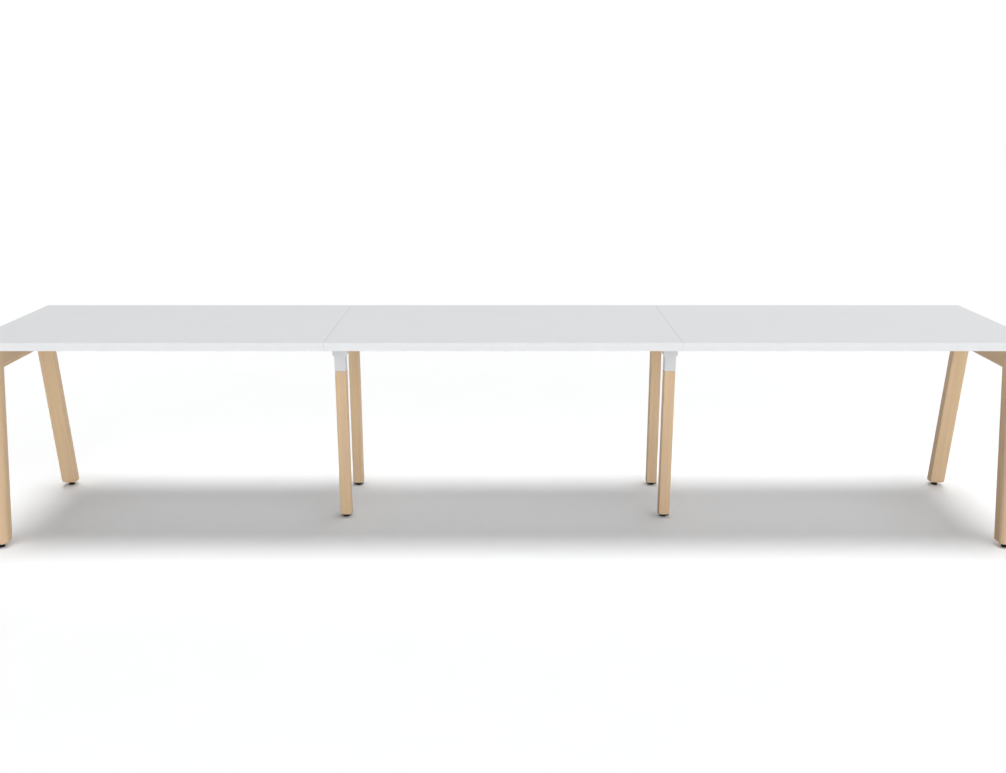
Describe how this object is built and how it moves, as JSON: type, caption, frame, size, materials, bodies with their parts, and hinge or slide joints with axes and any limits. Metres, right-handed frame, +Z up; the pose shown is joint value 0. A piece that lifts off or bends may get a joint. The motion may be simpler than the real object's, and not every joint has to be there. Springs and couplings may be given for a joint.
{
  "type": "bench table",
  "caption": "Long bench table with white laminate worktops in a row, splayed timber end frames, recessed timber posts with grey metal heads, and levelling glides.",
  "frame": {"origin": "centre of the table's box at floor level", "axes": "+X along the length to the right seen from the front, +Y from the front edge to the rear edge, +Z up"},
  "size_m": [3.6, 0.7, 0.74],
  "materials": {
    "laminate": "satin",
    "edge_band": "satin",
    "timber": "satin",
    "light_steel": "satin",
    "cap_plastic": "matte",
    "black_nylon": "satin",
    "zinc_steel": "satin"
  },
  "bodies": {
    "table": {"worktop_left": "laminate", "worktop_centre": "laminate", "worktop_right": "laminate", "edge_band_left": "edge_band", "edge_band_centre": "edge_band", "edge_band_right": "edge_band", "end_leg_left_front": "timber", "end_leg_left_rear": "timber", "end_leg_right_front": "timber", "end_leg_right_rear": "timber", "end_crossbar_left": "timber", "end_crossbar_right": "timber", "post_left_front": "timber", "post_left_rear": "timber", "post_right_front": "timber", "post_right_rear": "timber", "post_head_left_front": "light_steel", "post_head_left_rear": "light_steel", "post_head_right_front": "light_steel", "post_head_right_rear": "light_steel", "head_bolt_left_front": "zinc_steel", "head_bolt_left_rear": "zinc_steel", "head_bolt_right_front": "zinc_steel", "head_bolt_right_rear": "zinc_steel", "end_bracket_left": "light_steel", "crossbeam_left": "light_steel", "seam_plate_left": "light_steel", "end_bracket_right": "light_steel", "crossbeam_right": "light_steel", "seam_plate_right": "light_steel", "beam_cap_left_front": "cap_plastic", "beam_cap_left_rear": "cap_plastic", "beam_cap_right_front": "cap_plastic", "beam_cap_right_rear": "cap_plastic", "rail_left_front": "light_steel", "rail_left_rear": "light_steel", "rail_centre_front": "light_steel", "rail_centre_rear": "light_steel", "rail_right_front": "light_steel", "rail_right_rear": "light_steel", "foot_cap_left_front": "black_nylon", "insert_end_left_front": "black_nylon", "foot_cap_left_rear": "black_nylon", "insert_end_left_rear": "black_nylon", "foot_cap_right_front": "black_nylon", "insert_end_right_front": "black_nylon", "foot_cap_right_rear": "black_nylon", "insert_end_right_rear": "black_nylon", "insert_post_left_front": "zinc_steel", "insert_post_left_rear": "zinc_steel", "insert_post_right_front": "zinc_steel", "insert_post_right_rear": "zinc_steel"},
    "glide_end_left_front": {"glide_end_left_front": "black_nylon"},
    "glide_end_left_rear": {"glide_end_left_rear": "black_nylon"},
    "glide_end_right_front": {"glide_end_right_front": "black_nylon"},
    "glide_end_right_rear": {"glide_end_right_rear": "black_nylon"},
    "glide_post_left_front": {"glide_post_left_front": "black_nylon"},
    "glide_post_left_rear": {"glide_post_left_rear": "black_nylon"},
    "glide_post_right_front": {"glide_post_right_front": "black_nylon"},
    "glide_post_right_rear": {"glide_post_right_rear": "black_nylon"}
  },
  "joints": [
    {"name": "level_end_left_front", "type": "slide", "parent": "table", "child": "glide_end_left_front", "axis": [0, 0, -1], "range_m": [0, 0.01]},
    {"name": "level_end_left_rear", "type": "slide", "parent": "table", "child": "glide_end_left_rear", "axis": [0, 0, -1], "range_m": [0, 0.01]},
    {"name": "level_end_right_front", "type": "slide", "parent": "table", "child": "glide_end_right_front", "axis": [0, 0, -1], "range_m": [0, 0.01]},
    {"name": "level_end_right_rear", "type": "slide", "parent": "table", "child": "glide_end_right_rear", "axis": [0, 0, -1], "range_m": [0, 0.01]},
    {"name": "level_post_left_front", "type": "slide", "parent": "table", "child": "glide_post_left_front", "axis": [0, 0, -1], "range_m": [0, 0.01]},
    {"name": "level_post_left_rear", "type": "slide", "parent": "table", "child": "glide_post_left_rear", "axis": [0, 0, -1], "range_m": [0, 0.01]},
    {"name": "level_post_right_front", "type": "slide", "parent": "table", "child": "glide_post_right_front", "axis": [0, 0, -1], "range_m": [0, 0.01]},
    {"name": "level_post_right_rear", "type": "slide", "parent": "table", "child": "glide_post_right_rear", "axis": [0, 0, -1], "range_m": [0, 0.01]}
  ]
}
